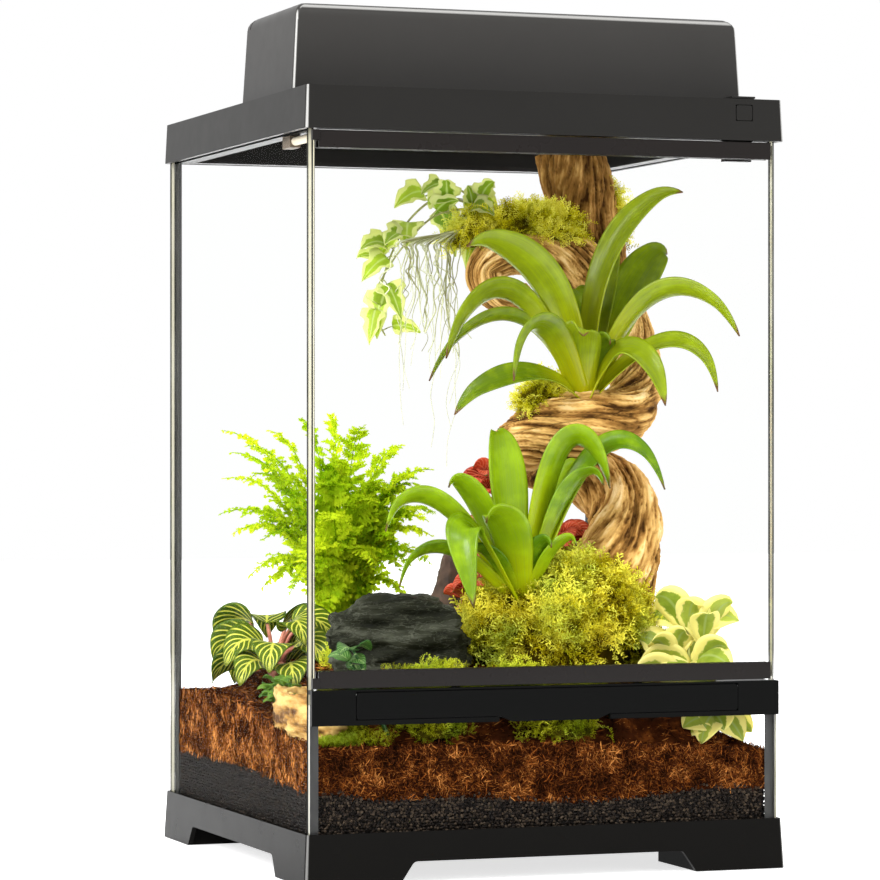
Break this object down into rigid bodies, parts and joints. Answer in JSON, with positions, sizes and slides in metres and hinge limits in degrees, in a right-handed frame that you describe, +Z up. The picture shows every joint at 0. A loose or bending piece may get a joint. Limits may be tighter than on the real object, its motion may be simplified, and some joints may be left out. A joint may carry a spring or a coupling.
{
  "type": "planted glass terrarium",
  "caption": "Glass terrarium with a side-hinged front door, vent bar with tilting catch plate, lift-off mesh screen with lamp hood, drainage layer, soil, liana wood and living plants.",
  "frame": {"origin": "centre of the footprint, on the table plane", "axes": "+X to the right and -Y towards the viewer as seen at the door, +Z up"},
  "size_m": [0.315, 0.315, 0.5353],
  "materials": {
    "frame_plastic": "fine-grained black plastic",
    "rail_plastic": "smooth black plastic",
    "clear_glass": "clear float glass with green edges",
    "silicone": "black silicone",
    "steel": "steel",
    "mesh_wire": "black woven wire",
    "bracket_plastic": "dull brown plastic",
    "sleeve": "pale plastic sleeve",
    "reflector": "bright aluminium sheet",
    "socket_white": "white ceramic",
    "cap_metal": "aluminium screw cap",
    "lamp_glass": "opal lamp glass",
    "gland_rubber": "black rubber",
    "granules": "dark porous granules",
    "soil": "damp red-brown forest soil with bark",
    "dish_stone": "rough tan stone finish",
    "slate": "dark layered slate",
    "bark": "dark rough bark",
    "liana": "stranded brown wood",
    "moss": "yellow-green cushion moss",
    "fern_leaf": "bright green fronds",
    "upper_leaf": "glossy yellow-green straps with red tips",
    "lower_leaf": "glossy green straps",
    "fittonia_leaf": "red and green veined leaves",
    "veined_leaf": "dark green leaves with pale veins",
    "peperomia_leaf": "cream and green round leaves",
    "ivy_leaf": "pale variegated leaves",
    "pale_moss": "grey-green hanging strands",
    "creeper_leaf": "small green leaves",
    "dark_leaf": "dark green leaves"
  },
  "bodies": {
    "tank": {"base_frame": "frame_plastic", "bottom_glass": "clear_glass", "left_glass": "clear_glass", "right_glass": "clear_glass", "back_glass": "clear_glass", "front_lower_glass": "clear_glass", "silicone_seals": "silicone", "top_frame": "frame_plastic", "corner_bracket": "bracket_plastic", "bracket_pin": "sleeve", "vent_bar": "frame_plastic", "vent_grille": "steel", "latch_springs": "steel", "button_spring": "steel", "button_housing": "rail_plastic", "drainage_layer": "granules", "soil_layer": "soil", "water_dish": "dish_stone", "slate_rock": "slate", "bark_piece": "bark", "liana_wood": "liana", "moss_mound": "moss", "ground_moss": "moss", "wood_moss": "moss", "fern": "fern_leaf", "upper_bromeliad": "upper_leaf", "lower_bromeliad": "lower_leaf", "fittonia": "fittonia_leaf", "veined_plant": "veined_leaf", "peperomia": "peperomia_leaf", "ivy": "ivy_leaf", "hanging_moss": "pale_moss", "creeper": "creeper_leaf", "dark_leaf_plant": "dark_leaf"},
    "door": {"door_glass": "clear_glass", "door_top_rail": "rail_plastic", "door_bottom_rail": "rail_plastic", "hinge_caps": "rail_plastic", "hinge_pins": "steel"},
    "catch": {"latch_plate": "frame_plastic", "latch_pivots": "steel"},
    "button": {"latch_button": "frame_plastic"},
    "screen": {"screen_frame": "frame_plastic", "screen_mesh": "mesh_wire"},
    "hood": {"hood_shell": "frame_plastic", "hood_back": "frame_plastic", "hood_top": "frame_plastic", "hood_reflector": "reflector", "hood_screws": "steel", "lamp_sockets": "socket_white", "lamp_caps": "cap_metal", "lamp_glasses": "lamp_glass", "lead_gland": "gland_rubber"},
    "slide_left": {"cable_slide_left": "frame_plastic"},
    "slide_right": {"cable_slide_right": "frame_plastic"}
  },
  "joints": [
    {"name": "door_hinge", "type": "hinge", "parent": "tank", "child": "door", "pos_m": [-0.1504, -0.1549, 0.2857], "axis": [0, 0, -1], "range_deg": [0, 120]},
    {"name": "catch_tilt", "type": "hinge", "parent": "tank", "child": "catch", "pos_m": [0, -0.1557, 0.1142], "axis": [-1, 0, 0], "range_deg": [0, 18], "stiffness_Nm_per_rad": 0.05},
    {"name": "button_push", "type": "slide", "parent": "tank", "child": "button", "axis": [0, 1, 0], "range_m": [0, 0.0025], "stiffness_N_per_m": 200, "deforming": ["button_spring"]},
    {"name": "screen_lift", "type": "slide", "parent": "tank", "child": "screen", "axis": [0, 0, 1], "range_m": [0, 0.06]},
    {"name": "hood_lift", "type": "slide", "parent": "screen", "child": "hood", "axis": [0, 0, 1], "range_m": [0, 0.06]},
    {"name": "slide_left_close", "type": "slide", "parent": "tank", "child": "slide_left", "axis": [-1, 0, 0], "range_m": [0, 0.023]},
    {"name": "slide_right_close", "type": "slide", "parent": "tank", "child": "slide_right", "axis": [1, 0, 0], "range_m": [0, 0.023]}
  ]
}
